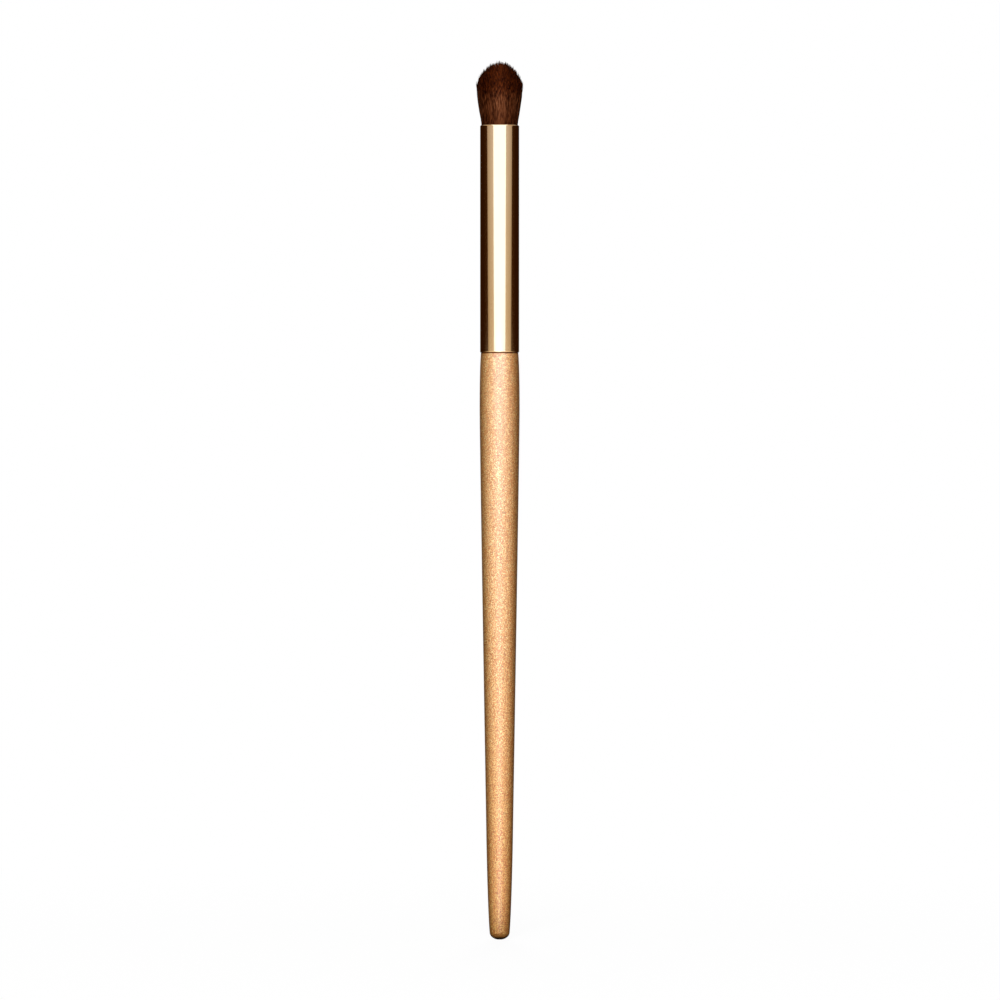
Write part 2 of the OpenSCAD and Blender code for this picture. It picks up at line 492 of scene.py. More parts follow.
@dataclass(frozen=True)
class PackedRoot:
    """Filament roots soaked in resin: dark, close-set round ends and sides."""

    fibre: Colour = (0.045, 0.014, 0.005)
    resin: Colour = (0.020, 0.006, 0.002)
    fibres: float = 9.0
    stretch: Axes = (1.0, 1.0, 0.02)
    fibre_limits: Limits = (0.2, 0.6)
    roughness: float = 0.45
    depth: float = 0.04 * MM
    strength: float = 0.6

    def material(self) -> bpy.types.Material:
        """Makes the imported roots.

        Returns:
            The material.
        """
        material, tree = new_material("packed_root")
        cells = tree.cells(tree.stretched(tree.place(), self.stretch), self.fibres)
        tree.surface({
            "Base Color": tree.mix(cells.between(*self.fibre_limits), rgba(self.fibre), rgba(self.resin)),
            "Roughness": self.roughness,
            "Normal": tree.bump(1 - cells, self.depth, self.strength),
        })
        return material


@dataclass(frozen=True)
class BondingMatter:
    """A cast or cured filler: its colour clouds a little, and fine bubbles stand in it."""

    name: str
    clear: Colour
    cloudy: Colour
    roughness: float
    clouds: Noise = Noise(0.6, 3.0)
    bubbles: float = 4.0
    bubble_limits: Limits = (0.08, 0.16)
    bubble_roughness: float = 0.25
    depth: float = 0.02 * MM
    strength: float = 0.5

    def material(self) -> bpy.types.Material:
        """Makes the filler.

        Returns:
            The material.
        """
        material, tree = new_material(self.name)
        place = tree.place()
        bubble = 1 - tree.cells(place, self.bubbles).between(*self.bubble_limits)
        tree.surface({
            "Base Color": tree.mix(tree.noise(place, self.clouds), rgba(self.clear), rgba(self.cloudy)),
            "Roughness": bubble * self.bubble_roughness + self.roughness,
            "Normal": tree.bump(1 - bubble, self.depth, self.strength),
        })
        return material


@dataclass(frozen=True)
class BindingThread:
    """Resin-soaked thread: two plies twisted together, with a little fluff in its colour."""

    bright: Colour = (0.80, 0.76, 0.66)
    shadow: Colour = (0.52, 0.45, 0.33)
    plies: float = 5.0
    waver: float = 1.5
    fluff: Noise = Noise(12.0)
    fluff_share: float = 0.3
    roughness: float = 0.6
    depth: float = 0.03 * MM
    strength: float = 0.6

    def material(self) -> bpy.types.Material:
        """Makes the thread.

        Returns:
            The material.
        """
        material, tree = new_material("binding_thread")
        place = tree.place()
        settings = {"wave_type": "BANDS", "bands_direction": "DIAGONAL"}
        inputs = {"Vector": place, "Scale": self.plies, "Distortion": self.waver}
        twist = tree.node("ShaderNodeTexWave", settings, inputs, "Fac")
        worn = twist * (1 - self.fluff_share) + tree.noise(place, self.fluff) * self.fluff_share
        tree.surface({
            "Base Color": tree.mix(worn, rgba(self.shadow), rgba(self.bright)),
            "Roughness": self.roughness,
            "Normal": tree.bump(twist, self.depth, self.strength),
        })
        return material


def edit_mode(on: bool) -> None:
    """Enters or leaves edit mode on the active object."""
    bpy.ops.object.mode_set(mode="EDIT" if on else "OBJECT")


def deselect() -> None:
    """Leaves nothing selected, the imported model's nodes included."""
    bpy.ops.object.select_all(action="DESELECT")


def pick(mesh: bpy.types.Mesh, kind: str, chosen: Sequence[bool]) -> None:
    """Selects some points or faces of a mesh and nothing else, before edit mode is entered.

    Args:
        mesh: The mesh.
        kind: "vertices" or "polygons".
        chosen: Whether each one is selected.
    """
    for name in ("vertices", "edges", "polygons"):
        part = getattr(mesh, name)
        part.foreach_set("select", list(chosen) if name == kind else [False] * len(part))


@dataclass(frozen=True)
class Lathe:
    """Turns outlines of (radius, height) points about the Z axis, as a wood or metal lathe does."""

    segments: int
    crisp_angle: float = math.radians(32)
    weld: float = 0.002 * MM

    def turn(self, name: str, outline: Sequence[Point], closed: bool) -> bpy.types.Object:
        """Draws the outline point by point, spins it and closes it.

        Args:
            name: The new piece's name.
            outline: Its points, in order.
            closed: Whether the outline comes back to its start, as round a tube's wall. Otherwise
                it starts and ends on the axis.

        Returns:
            The turned piece, at the origin.
        """
        deselect()
        bpy.ops.mesh.primitive_plane_add(size=MM, location=(0.0, 0.0, 0.0))
        piece = bpy.context.object
        piece.name = piece.data.name = name
        edit_mode(True)
        bpy.ops.mesh.select_all(action="SELECT")
        bpy.ops.mesh.merge(type="CENTER")
        bpy.ops.transform.translate(value=(outline[0][0], 0.0, outline[0][1]))
        points = [*outline, outline[0]] if closed else list(outline)
        for (r, z), (next_r, next_z) in zip(points, points[1:]):
            step = (next_r - r, 0.0, next_z - z)
            bpy.ops.mesh.extrude_vertices_move(TRANSFORM_OT_translate={"value": step})
        bpy.ops.mesh.select_all(action="SELECT")
        bpy.ops.mesh.spin(steps=self.segments, angle=math.tau, center=(0, 0, 0), axis=(0, 0, 1))
        bpy.ops.mesh.select_all(action="SELECT")
        bpy.ops.mesh.remove_doubles(threshold=self.weld)
        bpy.ops.mesh.normals_make_consistent(inside=False)
        edit_mode(False)
        bpy.ops.object.shade_smooth_by_angle(angle=self.crisp_angle)
        return piece


def arc(
    centre: Point, radius: float, start: float, end: float, steps: int, squash: float = 1.0,
) -> list[Point]:
    """Gives the points of an arc, both ends among them.

    Args:
        centre: Its centre.
        radius: Its radius across.
        start: The angle where it starts, in degrees.
        end: The angle where it ends, in degrees.
        steps: Its number of chords.
        squash: Its radius along Z, as a share of the radius across.

    Returns:
        The points.
    """
    angles = [math.radians(start + (end - start) * k / steps) for k in range(steps + 1)]
    rise = radius * squash
    return [(centre[0] + radius * math.cos(a), centre[1] + rise * math.sin(a)) for a in angles]


def span(p: Point, q: Point, slopes: Sequence[float], reaches: Point, steps: int) -> list[Point]:
    """Gives the points of one smooth stretch of outline, without its last one.

    Args:
        p: Where it starts.
        q: Where it ends.
        slopes: Its change of radius with height at the start and at the end.
        reaches: How far the curve holds each slope, as shares of its height.
        steps: Its number of chords.

    Returns:
        The points.
    """
    start, end = np.array(p), np.array(q)
    rise = end[1] - start[1]
    first = start + reaches[0] * rise * np.array((slopes[0], 1.0))
    second = end - reaches[1] * rise * np.array((slopes[1], 1.0))
    far = np.array([[k / steps] for k in range(steps)])
    near = 1 - far
    spots = near**3 * start + 3 * near**2 * far * first + 3 * near * far**2 * second + far**3 * end
    return [tuple(spot) for spot in spots.tolist()]


def dress(piece: bpy.types.Object, material: bpy.types.Material, slot: str, *nodes: str) -> None:
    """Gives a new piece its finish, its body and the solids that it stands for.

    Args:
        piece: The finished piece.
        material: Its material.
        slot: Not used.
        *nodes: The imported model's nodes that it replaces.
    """
    piece.data.materials.clear()
    piece.data.materials.append(material)
    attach(piece, BODY)
    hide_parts(*nodes)
    LOG.info("%s: %d faces, replaces %s", piece.name, len(piece.data.polygons), ", ".join(nodes))


@dataclass(frozen=True)
class Barrel:
    """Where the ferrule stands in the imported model, which the other pieces are fitted to."""

    radius: float
    rear: float
    mouth: float

    @classmethod
    def of_frame(cls) -> "Barrel":
        """Reads the ferrule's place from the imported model."""
        low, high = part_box("ferrule")
        return cls(radius=float(high.x), rear=float(low.z), mouth=float(high.z))


@dataclass(frozen=True)
class Handle:
    """The turned handle: rounded tail, long taper, finger swell, shoulder and grooved tenon.

    Three smooth stretches join the tail, the waist, the swell and the shoulder's edge. The slopes
    are those four places' own, and each stretch has its reaches and its number of chords.
    """

    barrel: Barrel
    tail_r: float = 2.0 * MM
    tail_round_h: float = 1.5 * MM
    tail_flat_r: float = 0.5 * MM
    waist: Point = (2.65 * MM, 20.0 * MM)
    swell_rise: float = 0.1 * MM
    swell_drop: float = 11.4 * MM
    shoulder_step: float = 0.16 * MM
    shoulder_round: float = 0.1 * MM
    tenon_r: float = 3.5 * MM
    tenon_len: float = 20.0 * MM
    tenon_chamfer: float = 0.6 * MM
    groove_start: float = 5.5 * MM
    groove_pitch: float = 4.0 * MM
    groove_r: float = 0.7 * MM
    groove_depth: float = 0.3 * MM
    grooves: int = 3
    slopes: tuple[float, float, float, float] = (0.09, 0.016, 0.0, -0.09)
    reaches: tuple[Point, Point, Point] = ((0.2, 0.2), (0.2, 0.08), (0.65, 0.1))
    chords: tuple[int, int, int] = (24, 48, 24)
    tail_chords: int = 18
    edge_chords: int = 6
    groove_chords: int = 8
    segments: int = 128

    def _tenon(self, shoulder_z: float) -> list[Point]:
        """Gives the tenon's outline.

        Args:
            shoulder_z: The height of the shoulder.

        Returns:
            The points, from the shoulder to the tenon's end.
        """
        half = math.degrees(math.acos((self.groove_r - self.groove_depth) / self.groove_r))
        points = [(self.tenon_r, shoulder_z)]
        for n in range(self.grooves):
            z = shoulder_z + self.groove_start + n * self.groove_pitch
            centre = (self.tenon_r - self.groove_depth + self.groove_r, z)
            points += arc(centre, self.groove_r, HALF_TURN + half, HALF_TURN - half, self.groove_chords)
        end = shoulder_z + self.tenon_len
        points.append((self.tenon_r, end - self.tenon_chamfer))
        return [*points, (self.tenon_r - self.tenon_chamfer, end), (0.0, end)]

    def outline(self) -> list[Point]:
        """Gives the whole outline, from the tail's flat to the tenon's end.

        Returns:
            The points.
        """
        top = self.barrel.rear
        flat = math.acos(self.tail_flat_r / self.tail_r)
        squash = self.tail_round_h / self.tail_r
        tail_z = self.tail_round_h * math.sin(flat)
        tail = arc((0.0, tail_z), self.tail_r, -math.degrees(flat), 0, self.tail_chords, squash)
        swell = (self.barrel.radius + self.swell_rise, top - self.swell_drop)
        edge = (self.barrel.radius - self.shoulder_step, top - self.shoulder_round)
        places = [(self.tail_r, tail_z), self.waist, swell, edge]
        points = [(0.0, 0.0), *tail[:-1]]
        for k, (reaches, chords) in enumerate(zip(self.reaches, self.chords, strict=True)):
            points += span(places[k], places[k + 1], self.slopes[k:k + 2], reaches, chords)
        centre = (edge[0] - self.shoulder_round, edge[1])
        points += arc(centre, self.shoulder_round, 0, QUARTER_TURN, self.edge_chords)
        return [*points, *self._tenon(top)]

    def build(self) -> bpy.types.Object:
        """Turns and dresses the handle.

        Returns:
            The finished piece.
        """
        piece = Lathe(self.segments).turn("turned_handle", self.outline(), closed=False)
        finish = VarnishedWood(joint_height=self.barrel.rear / MM)
        dress(piece, finish.material(), "handle_wood", "handle")
        return piece


@dataclass(frozen=True)
class Ferrule:
    """The drawn metal tube, with its rounded mouth and its broken rear edge."""

    barrel: Barrel
    wall: float = 0.3 * MM
    lip_round: float = 0.24 * MM
    rear_break: float = 0.07 * MM
    straight_start: float = 0.05 * MM
    break_chords: int = 4
    lip_chords: int = 12
    rings: int = 16
    segments: int = 192
    finish: GoldAnodised = GoldAnodised()

    def build(self) -> bpy.types.Object:
        """Draws and dresses the tube.

        Returns:
            The finished piece.
        """
        r, rear, mouth = self.barrel.radius, self.barrel.rear, self.barrel.mouth
        bore = r - self.wall
        low = rear + self.rear_break + self.straight_start
        high = mouth - self.lip_round - self.straight_start
        back, lip = self.rear_break, self.lip_round
        outline = [
            (bore, rear),
            *arc((r - back, rear + back), back, -QUARTER_TURN, 0, self.break_chords),
            *[(r, low + (high - low) * k / self.rings) for k in range(self.rings + 1)],
            *arc((r - lip, mouth - lip), lip, 0, QUARTER_TURN, self.lip_chords),
            (bore, mouth),
        ]
        piece = Lathe(self.segments).turn("drawn_ferrule", outline, closed=True)
        dress(piece, self.finish.material(), "ferrule_metal", "ferrule")
        return piece


class Layer(Enum):
    """The two layers that the tuft's filaments are kept in."""

    INNER = "inner_filaments"
    OUTER = "outer_filaments"


@dataclass(frozen=True)
class Filament:
    """One tapered filament, modelled once: thickness 1 at its root and length 1, along Z.

    Each ring is a height on it and the filament's thickness there.
    """

    sides: int = 3
    rings: tuple[Point, ...] = ((0.16, 1.0), (0.36, 1.0), (0.56, 0.98), (0.76, 0.85), (0.92, 0.55))
    ring_reach: float = 1e-4

    def model(self) -> tuple[np.ndarray, list[list[int]]]:
        """Models the filament and takes its mesh down.

        Returns:
            Its points, and its faces as lists of point numbers.
        """
        deselect()
        bpy.ops.mesh.primitive_cone_add(
            vertices=self.sides, radius1=1.0, radius2=0.0, depth=1.0, location=(0.0, 0.0, 0.5),
        )
        cone = bpy.context.object
        edit_mode(True)
        for height, _ in self.rings:
            bpy.ops.mesh.select_all(action="SELECT")
            bpy.ops.mesh.bisect(plane_co=(0.0, 0.0, height), plane_no=(0.0, 0.0, 1.0))
        edit_mode(False)
        bpy.ops.object.transform_apply(location=True)
        for height, share in self.rings:
            on_ring = [abs(v.co.z - height) < self.ring_reach for v in cone.data.vertices]
            pick(cone.data, "vertices", on_ring)
            edit_mode(True)
            grow = share / (1 - height)
            bpy.ops.transform.resize(value=(grow, grow, 1.0), center_override=(0.0, 0.0, height))
            edit_mode(False)
        points = np.array([v.co for v in cone.data.vertices])
        faces = [list(f.vertices) for f in cone.data.polygons]
        bpy.data.objects.remove(cone)
        return points, faces


@dataclass(frozen=True)
class Tuft:
    """The domed tuft of several thousand filaments, which flare from the mouth.

    Neighbours cling together in fine locks, and the locks' tips gather in pointed wisps. Heights are
    taken from the mouth. A point of the dome is a share of the tuft's radius and the height of the
    tips there above the belly, in millimetres. A shade is drawn for each lock, wisp and filament, and
    a normal leans from the tuft's own roundness a little towards the filament's.
    """

    barrel: Barrel
    wall: float = 0.3 * MM
    count: int = 7000
    inner_share: float = 0.5
    root_r: float = 0.045 * MM
    foot_drop: float = 0.45 * MM
    bore_clear: float = 0.02 * MM
    belly_h: float = 7.9 * MM
    belly_rise: float = 0.84 * MM
    dome: tuple[Point, ...] = (
        (0.0, 5.20), (0.12, 5.24), (0.33, 5.02), (0.46, 4.58), (0.565, 4.17), (0.67, 3.73), (0.76, 3.25),
        (0.82, 2.70), (0.85, 2.42), (0.89, 2.02), (0.93, 1.62), (0.96, 1.22), (0.985, 0.80), (1.0, 0.30),
    )
    flare_power: float = 0.95
    root_jitter: float = 0.012
    centre_jitter: float = 0.030
    shade_shares: tuple[float, float, float] = (0.10, 0.04, 0.86)
    locks: int = 1000
    lock_pull: float = 0.4
    lock_limits: Limits = (0.05, 0.65)
    wisps: int = 420
    wisp_pull: float = 0.98
    wisp_reach: float = 1.5 * MM
    wisp_power: float = 1.5
    wisp_stagger: float = 0.40 * MM
    wisp_point: float = 1.2
    proud_share: float = 0.42
    tip_stagger: float = 0.08 * MM
    sway: float = 0.05 * MM
    own_normal: float = 0.14
    core_r: float = 1.4 * MM
    lift_limits: Limits = (0.05, 0.55)
    seed: int = 11
    root_len: float = 18.0 * MM
    root_drop: float = 0.15 * MM
    bound_depth: float = 0.5 * MM
    bound_len: float = 5.0 * MM
    bound_taper: float = 4.0 * MM
    skin: float = 0.12 * MM
    skin_climb: float = 1.0 * MM
    root_segments: int = 96
    finish: BrownFilament = BrownFilament()
    root_finish: PackedRoot = PackedRoot()

    def _spread(self, rise: np.ndarray) -> np.ndarray:
        """Gives the distance of the outermost filament from the axis.

        Args:
            rise: Heights, as shares of the belly's.

        Returns:
            The distances.
        """
        root = self.barrel.radius - self.wall - self.bore_clear - self.root_r
        belly = self.barrel.radius + self.belly_rise - self.root_r
        return root + (belly - root) * rise**self.flare_power

    @staticmethod
    def _sunflower(count: int, jitter: float, rng: np.random.Generator) -> np.ndarray:
        """Spreads places evenly over a disc of radius 1, as a sunflower's seeds are.

        Args:
            count: The number of places.
            jitter: How far they stray. None strays off the disc.
            rng: The source of the straying.

        Returns:
            The places.
        """
        index = np.arange(count)
        share, angle = np.sqrt((index + 0.5) / count), index * GOLDEN_ANGLE
        places = np.stack([share * np.cos(angle), share * np.sin(angle)], 1)
        places += rng.normal(0.0, jitter, (count, 2))
        return places / np.maximum(np.hypot(*places.T), 1.0)[:, None]

    @staticmethod
    def _nearest(places: np.ndarray, centres: np.ndarray) -> np.ndarray:
        """Finds the centre that is nearest to each place."""
        return np.argmin(((places[:, None, :] - centres[None]) ** 2).sum(2), 1)

    def _lay(self) -> dict[str, np.ndarray]:
        """Lays out the filaments' roots, tips, locks, wisps and shades.

        Returns:
            One array for each, by name.
        """
        rng = np.random.default_rng(self.seed)
        root = self._sunflower(self.count, self.root_jitter, rng)
        lock_centres = self._sunflower(self.locks, self.centre_jitter, rng)
        wisp_centres = self._sunflower(self.wisps, self.centre_jitter, rng)
        lock = self._nearest(root, lock_centres)
        wisp = self._nearest(lock_centres, wisp_centres)[lock]
        above = np.interp(np.hypot(*root.T), *np.array(self.dome).T) * MM
        off_centre = np.hypot(*(lock_centres[lock] - wisp_centres[wisp]).T) * self.barrel.radius
        short = np.minimum(rng.random(self.wisps) / self.proud_share, 1.0) * self.wisp_stagger
        length = short[wisp] + off_centre * self.wisp_point
        length += rng.random(self.count) ** 2 * self.tip_stagger
        lock_shade, wisp_shade, own_shade = self.shade_shares
        shade = lock_shade * rng.random(self.locks)[lock] + wisp_shade * rng.random(self.wisps)[wisp]
        return {
            "root": root,
            "to_lock": lock_centres[lock] - root,
            "to_wisp": wisp_centres[wisp] - lock_centres[lock],
            "tip": self.belly_h + above - length,
            "shade": shade + own_shade * rng.random(self.count),
            "sway": rng.normal(0.0, self.sway, (self.count, 2)),
            "bend": rng.normal(0.0, self.sway, (self.count, 2)),
            "turn": rng.random(self.count) * math.tau,
        }

    @staticmethod
    def _unit(vectors: np.ndarray, least: float = 1e-6) -> np.ndarray:
        """Gives vectors a length of 1, or less to those that are shorter than the least length."""
        return vectors / np.maximum(np.linalg.norm(vectors, axis=2, keepdims=True), least)

    def _copies(self, lay: Mapping[str, np.ndarray], points: np.ndarray) -> tuple[np.ndarray, np.ndarray]:
        """Bends one copy of the filament along each of its paths.

        Args:
            lay: The layout of the filaments to copy.
            points: The modelled filament's points.

        Returns:
            The points of all copies, filament by filament, and their normals.
        """
        lay = {name: value[:, None] for name, value in lay.items()}
        x, y, along = points.T
        height = along * (lay["tip"] + self.foot_drop) - self.foot_drop
        rise = np.clip(height / self.belly_h, 0.0, 1.0)
        clings, holds = self.lock_limits
        cling = np.clip((rise - clings) / (holds - clings), 0.0, 1.0) * self.lock_pull
        gather = np.clip(1 - (lay["tip"] - height) / self.wisp_reach, 0.0, 1.0)
        gather = gather**self.wisp_power * self.wisp_pull
        path = lay["root"] + cling[..., None] * lay["to_lock"] + gather[..., None] * lay["to_wisp"]
        path = path * self._spread(rise)[..., None]
        path += lay["sway"] * rise[..., None]
        path += lay["bend"] * np.sin(math.pi * rise)[..., None]
        cosine, sine = np.cos(lay["turn"]), np.sin(lay["turn"])
        across = np.stack([x * cosine - y * sine, x * sine + y * cosine], 2)
        solid = np.concatenate([path + across * self.root_r, (height + self.barrel.mouth)[..., None]], 2)
        flat = self._unit(path, self.core_r) + self.own_normal * self._unit(across)
        least, most = self.lift_limits
        share = np.clip((height - self.belly_h) / (self.dome[0][1] * MM), 0.0, 1.0)
        normals = self._unit(np.concatenate([flat, (share * (most - least) + least)[..., None]], 2))
        return solid.reshape(-1, 3), normals.reshape(-1, 3)

    def _filaments(self, layer: Layer, lay: Mapping[str, np.ndarray]) -> bpy.types.Object:
        """Makes one layer of filaments as one mesh, shaded mostly as the round tuft that they form.

        Args:
            layer: The layer, which gives its name.
            lay: The layout of its filaments.

        Returns:
            The layer.
        """
        points, faces = Filament().model()
        count = len(lay["tip"])
        everywhere, normals = self._copies(lay, points)
        corners = [[v + n * len(points) for v in f] for n in range(count) for f in faces]
        mesh = bpy.data.meshes.new(layer.value)
        mesh.from_pydata(everywhere.tolist(), [], corners)
        values = {"shade": np.repeat(lay["shade"], len(points)), "along": np.tile(points[:, 2], count)}
        for name, value in values.items():
            attribute = mesh.attributes.new(name, "FLOAT", "POINT")
            attribute.data.foreach_set("value", value.astype(np.float32))
        piece = bpy.data.objects.new(layer.value, mesh)
        bpy.context.scene.collection.objects.link(piece)
        mesh.shade_smooth()
        mesh.normals_split_custom_set_from_vertices(normals.tolist())
        return piece

    def _roots(self) -> bpy.types.Object:
        """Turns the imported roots, drawn in where the thread binds them.

        Returns:
            The roots.
        """
        bore = self.barrel.radius - self.wall
        top = self.barrel.mouth - self.root_drop
        end = top - self.root_len
        swell = end + self.bound_len + self.bound_taper
        outline = [
            (0.0, end),
            (bore - self.bound_depth, end),
            (bore - self.bound_depth, end + self.bound_len),
            (bore - self.skin, swell),
            (bore - self.skin, swell + self.skin_climb),
            (bore, swell + self.skin_climb),
            (bore, top),
            (0.0, top),
        ]
        return Lathe(self.root_segments).turn("packed_roots", outline, closed=False)

    def build(self) -> list[bpy.types.Object]:
        """Makes and dresses the whole tuft.

        Returns:
            Its pieces.
        """
        lay = self._lay()
        split = round(self.count * self.inner_share)
        parts = {Layer.INNER: slice(0, split), Layer.OUTER: slice(split, None)}
        material = self.finish.material()
        pieces = []
        for layer, part in parts.items():
            piece = self._filaments(layer, {name: value[part] for name, value in lay.items()})
            dress(piece, material, "filament", "bristle_tuft")
            pieces.append(piece)
        roots = self._roots()
        dress(roots, self.root_finish.material(), "filament", "bristle_tuft")
        return [*pieces, roots]


@dataclass(frozen=True)
class Bonding:
    """What holds the brush together inside the ferrule: thread, resin and the tenon's adhesive."""

    thread: BindingThread = BindingThread()
    resin: BondingMatter = BondingMatter(
        "root_resin", (0.62, 0.36, 0.09), (0.74, 0.52, 0.20), roughness=0.15,
    )
    adhesive: BondingMatter = BondingMatter(
        "tenon_adhesive", (0.84, 0.79, 0.62), (0.74, 0.66, 0.47), roughness=0.5,
    )

    def dress_nodes(self) -> None:
        """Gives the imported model's own hidden solids their finishes."""
        finishes = {
            "binding_thread": self.thread.material(),
            "root_resin": self.resin.material(),
            "tenon_adhesive": self.adhesive.material(),
        }
        for name, material in finishes.items():
            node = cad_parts[name]
            node.data.materials.clear()
            node.data.materials.append(material)
            LOG.info("%s: the packed solid, dressed", name)


class Visibility(Enum):
    """The ray kinds that a stage object can be hidden from."""

    CAMERA = "visible_camera"
    DIFFUSE = "visible_diffuse"
    GLOSSY = "visible_glossy"
    TRANSMISSION = "visible_transmission"
    SHADOW = "visible_shadow"


def hide_from(stage_object: bpy.types.Object, *kinds: Visibility) -> None:
    """Hides a stage object from some kinds of ray."""
    for kind in kinds:
        setattr(stage_object, kind.value, False)


@dataclass(frozen=True)
class LightTent:
    """A drum round the brush that only glossy surfaces see, as a studio's cards and flags.

    The upper cards, which the ferrule reflects, are white in front, pale at the sides, dark further
    round and grey straight behind. They lean: their edges, in degrees from the front, draw in with
    falling height. The lower cards, which the handle reflects, fade evenly towards the back. Tints
    by height, in metres, colour both and the white front. Below the ferrule the front is brightest
    along one line a little to the side. The drum's base is dark round the foot of the brush.
    """

    radius: float = 0.3
    high: float = 0.9
    floor_gap: float = 0.1 * MM
    chords: int = 180
    strength: float = 3.3
    white_edge: Limits = (34.9, 35.1)
    lean: float = 90.0
    lean_height: float = 0.155
    side_lean: float = 142.0
    upper_cards: Stops = (
        (34.9, (0.250, 0.237, 0.225)), (74.4, (0.162, 0.139, 0.110)), (74.6, (0.0175, 0.0062, 0.0008)),
        (107.0, (0.0090, 0.0027, 0.0003)), (161.9, (0.0090, 0.0027, 0.0003)),
        (162.1, (0.070, 0.070, 0.070)),
    )
    lower_cards: Stops = (
        (34.9, (0.450, 0.415, 0.360)), (60.0, (0.335, 0.292, 0.230)), (80.0, (0.175, 0.138, 0.092)),
        (100.0, (0.045, 0.028, 0.013)), (120.0, (0.005, 0.003, 0.001)), (140.0, (0.003, 0.002, 0.001)),
        (161.9, (0.003, 0.002, 0.001)), (162.1, (0.070, 0.070, 0.070)),
    )
    lower_tints: Stops = (
        (0.0, (0.73, 0.62, 0.49)), (0.05, (0.93, 0.88, 0.84)), (0.085, (1.12, 1.14, 1.20)),
        (0.105, (2.55, 2.95, 3.40)),
    )
    lower_side: float = -1.5
    lower_end: Limits = (0.107, 0.117)
    overhead: Colour = (0.24, 0.215, 0.18)
    overhead_reach: Limits = (0.26, 0.42)
    front_tints: Stops = (
        (0.0, (0.73, 0.70, 0.64)), (0.02, (0.61, 0.58, 0.56)), (0.06, (0.54, 0.48, 0.465)),
        (0.085, (0.73, 0.75, 0.83)), (0.10, (1.12, 1.35, 1.68)), (0.113, (1.36, 1.80, 2.40)),
        (0.121, (0.53, 0.66, 0.84)), (0.24, (0.53, 0.66, 0.84)), (0.5, (0.46, 0.48, 0.5)),
    )
    upper_tints: Stops = (
        (0.120, (0.97, 0.88, 0.74)), (0.145, (1.0, 0.97, 0.88)), (0.185, (1.0, 1.03, 1.14)),
        (0.205, (0.90, 0.66, 0.42)),
    )
    peak_side: float = -3.0
    peak_width: float = 34.0
    peak_drop: float = 0.60
    crisp_start: Limits = (0.1215, 0.1240)
    shade_reach: Limits = (0.003, 0.040)

    def build(self) -> bpy.types.Object:
        """Makes the drum, open at the top.

        Returns:
            The drum.
        """
        deselect()
        bpy.ops.mesh.primitive_cylinder_add(
            vertices=self.chords, radius=self.radius, depth=self.high, end_fill_type="TRIFAN",
            location=(0.0, 0.0, self.high / 2 + self.floor_gap),
        )
        drum = bpy.context.object
        drum.name = drum.data.name = "light_tent"
        bpy.ops.object.transform_apply(location=True)
        pick(drum.data, "polygons", [face.center.z > self.high for face in drum.data.polygons])
        edit_mode(True)
        bpy.ops.mesh.select_mode(type="FACE")
        bpy.ops.mesh.delete(type="FACE")
        bpy.ops.mesh.select_mode(type="VERT")
        edit_mode(False)
        drum.data.materials.append(self._material())
        hide_from(
            drum, Visibility.CAMERA, Visibility.DIFFUSE, Visibility.TRANSMISSION, Visibility.SHADOW,
        )
        return drum

    @staticmethod
    def _cards(tree: ShaderTree, turned: Signal, cards: Stops, tint: Signal) -> Signal:
        """Gives the tinted colour of the cards at an angle from the front, in degrees."""
        shares = [(angle / HALF_TURN, colour) for angle, colour in cards]
        return tree.tinted(1.0, tree.ramp(turned * (1 / HALF_TURN), shares), tint)

    def _sides(self, tree: ShaderTree, azimuth: Signal, z: Signal) -> Signal:
        """Colours the drum's sides, its back and what is overhead.

        Args:
            tree: The material's tree.
            azimuth: The angle from the front, in degrees.
            z: The height.

        Returns:
            The colour.
        """
        leaning = azimuth.size() + (self.lean_height - z) * self.side_lean
        upper = self._cards(tree, leaning, self.upper_cards, tree.ramp(z, self.upper_tints))
        aside = (azimuth - self.lower_side).size()
        lower = self._cards(tree, aside, self.lower_cards, tree.ramp(z, self.lower_tints))
        sides = tree.mix(z.between(*self.lower_end), lower, upper)
        return tree.mix(z.between(*self.overhead_reach), sides, rgba(self.overhead))

    def _material(self) -> bpy.types.Material:
        """Makes the drum's own light.

        Returns:
            The material.
        """
        material, tree = new_material("light_tent")
        spot = tree.spot()
        z = tree.height(spot)
        sides = {0: z.output("X"), 1: z.output("Y") * -1}
        azimuth = tree.node("ShaderNodeMath", {"operation": "ARCTAN2"}, sides) * math.degrees(1)
        drop = (azimuth - self.peak_side).size().between(0.0, self.peak_width) * self.peak_drop
        drop = drop * (1 - z.between(*self.crisp_start))
        front = tree.mix(drop, tree.ramp(z, self.front_tints), rgba(BLACK))
        turned = azimuth.size() + (self.lean_height - z) * self.lean
        colour = tree.mix(turned.between(*self.white_edge), front, self._sides(tree, azimuth, z))
        colour = tree.mix(tree.distance(spot).between(*self.shade_reach), rgba(BLACK), colour)
        shader = tree.node("ShaderNodeEmission", {}, {"Color": colour, "Strength": self.strength})
        tree.node("ShaderNodeOutputMaterial", {}, {"Surface": shader})
        return material


@dataclass(frozen=True)
class SoftLamp:
    """A large soft lamp that lights the brush without showing in its reflections."""

    name: str
    place: Axes
    power: float
    aim: Axes = (0.0, 0.0, 0.09)
    width: float = 0.35

    def build(self) -> bpy.types.Object:
        """Hangs the lamp.

        Returns:
            The lamp.
        """
        deselect()
        bpy.ops.object.light_add(type="AREA", location=self.place)
        lamp = bpy.context.object
        lamp.name = lamp.data.name = self.name
        lamp.data.shape = "SQUARE"
        lamp.data.size = self.width
        lamp.data.energy = self.power
        away = lamp.location - type(lamp.location)(self.aim)
        lamp.rotation_euler = away.to_track_quat("Z", "Y").to_euler()
        hide_from(lamp, Visibility.CAMERA, Visibility.GLOSSY)
        return lamp


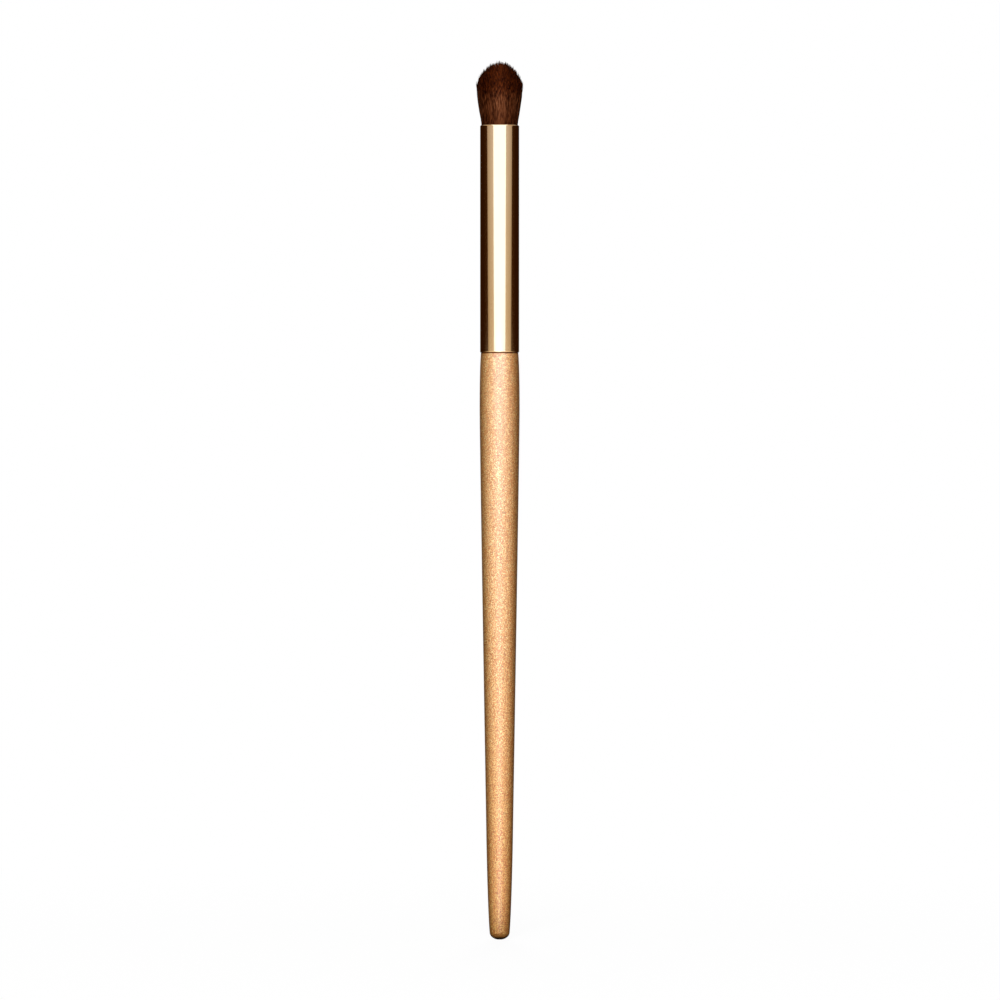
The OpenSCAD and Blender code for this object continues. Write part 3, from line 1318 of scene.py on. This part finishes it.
def backdrop_rays(tree: ShaderTree) -> Signal:
    """Finds the rays that see the background.

    Args:
        tree: The tree that asks.

    Returns:
        1 for the camera's, glossy and transmission rays, and 0 for others.
    """
    path = tree.node("ShaderNodeLightPath", output="Is Camera Ray")
    seen = path.at_least(path.output("Is Glossy Ray"))
    return seen.at_least(path.output("Is Transmission Ray"))


@dataclass(frozen=True)
class Studio:
    """The pale floor, the white surroundings, the lamps, the light tent and the camera."""

    camera_place: Axes = (0.00007, -1.2, 0.08788)
    lens: float = 216.0
    sensor: float = 36.0
    clip: Limits = (0.01, 50.0)
    fill: float = 0.035
    floor_size: float = 6.0
    floor_cells: int = 8
    floor_white: float = 0.94
    floor_paint: Colour = (0.85, 0.85, 0.85)
    shadow_reach: float = 0.25
    lamps: tuple[SoftLamp, ...] = (
        SoftLamp("front_lamp", (-0.07, -1.0, 0.60), 14.8),
        SoftLamp("rear_lamp", (0.0, 0.95, 0.60), 10.0),
    )

    def _surroundings(self) -> None:
        """Makes the world white where it is seen, and a low fill for the rest."""
        world = bpy.data.worlds.new("studio_white")
        bpy.context.scene.world = world
        tree = ShaderTree(world)
        level = backdrop_rays(tree).across(self.fill, 1.0)
        shader = tree.node("ShaderNodeBackground", {}, {"Color": rgba(WHITE), "Strength": level})
        tree.node("ShaderNodeOutputWorld", {}, {"Surface": shader})

    def _floor(self) -> bpy.types.Object:
        """Lays the floor, which shows a faint shadow near the brush and plain white further off.

        Returns:
            The floor.
        """
        deselect()
        cells = self.floor_cells
        bpy.ops.mesh.primitive_grid_add(x_subdivisions=cells, y_subdivisions=cells, size=self.floor_size)
        floor = bpy.context.object
        floor.name = floor.data.name = "studio_floor"
        material, tree = new_material("floor_white")
        far = tree.distance(tree.spot()).between(0.0, self.shadow_reach)
        white = far.across(self.floor_white, 1.0)
        paint = tree.node("ShaderNodeBsdfDiffuse", {}, {"Color": rgba(self.floor_paint)})
        glow = tree.node("ShaderNodeEmission", {}, {"Strength": 1.0})
        mixed = {0: backdrop_rays(tree) * white, 1: paint, 2: glow}
        shader = tree.node("ShaderNodeMixShader", {}, mixed)
        tree.node("ShaderNodeOutputMaterial", {}, {"Surface": shader})
        floor.data.materials.append(material)
        hide_from(floor, Visibility.DIFFUSE)
        return floor

    def _camera(self) -> None:
        """Sets the camera level, square to the brush."""
        bpy.ops.object.camera_add(location=self.camera_place, rotation=(math.pi / 2, 0.0, 0.0))
        camera = bpy.context.object
        camera.name = camera.data.name = "photo_camera"
        camera.data.lens = self.lens
        camera.data.sensor_width = self.sensor
        camera.data.clip_start, camera.data.clip_end = self.clip
        camera.data.dof.use_dof = False
        bpy.context.scene.camera = camera

    def build(self) -> None:
        """Builds the stage round the brush."""
        bpy.context.scene.view_settings.view_transform = "Standard"
        self._surroundings()
        self._floor()
        for part in (LightTent(), *self.lamps):
            LOG.info("stage: %s", part.build().name)
        self._camera()


def main() -> None:
    """Builds the brush piece by piece, then the studio round it."""
    logging.basicConfig(level=logging.INFO, format="%(name)s: %(message)s")
    barrel = Barrel.of_frame()
    Handle(barrel).build()
    Ferrule(barrel).build()
    Tuft(barrel).build()
    Bonding().dress_nodes()
    Studio().build()


if __name__ == "__main__":
    main()
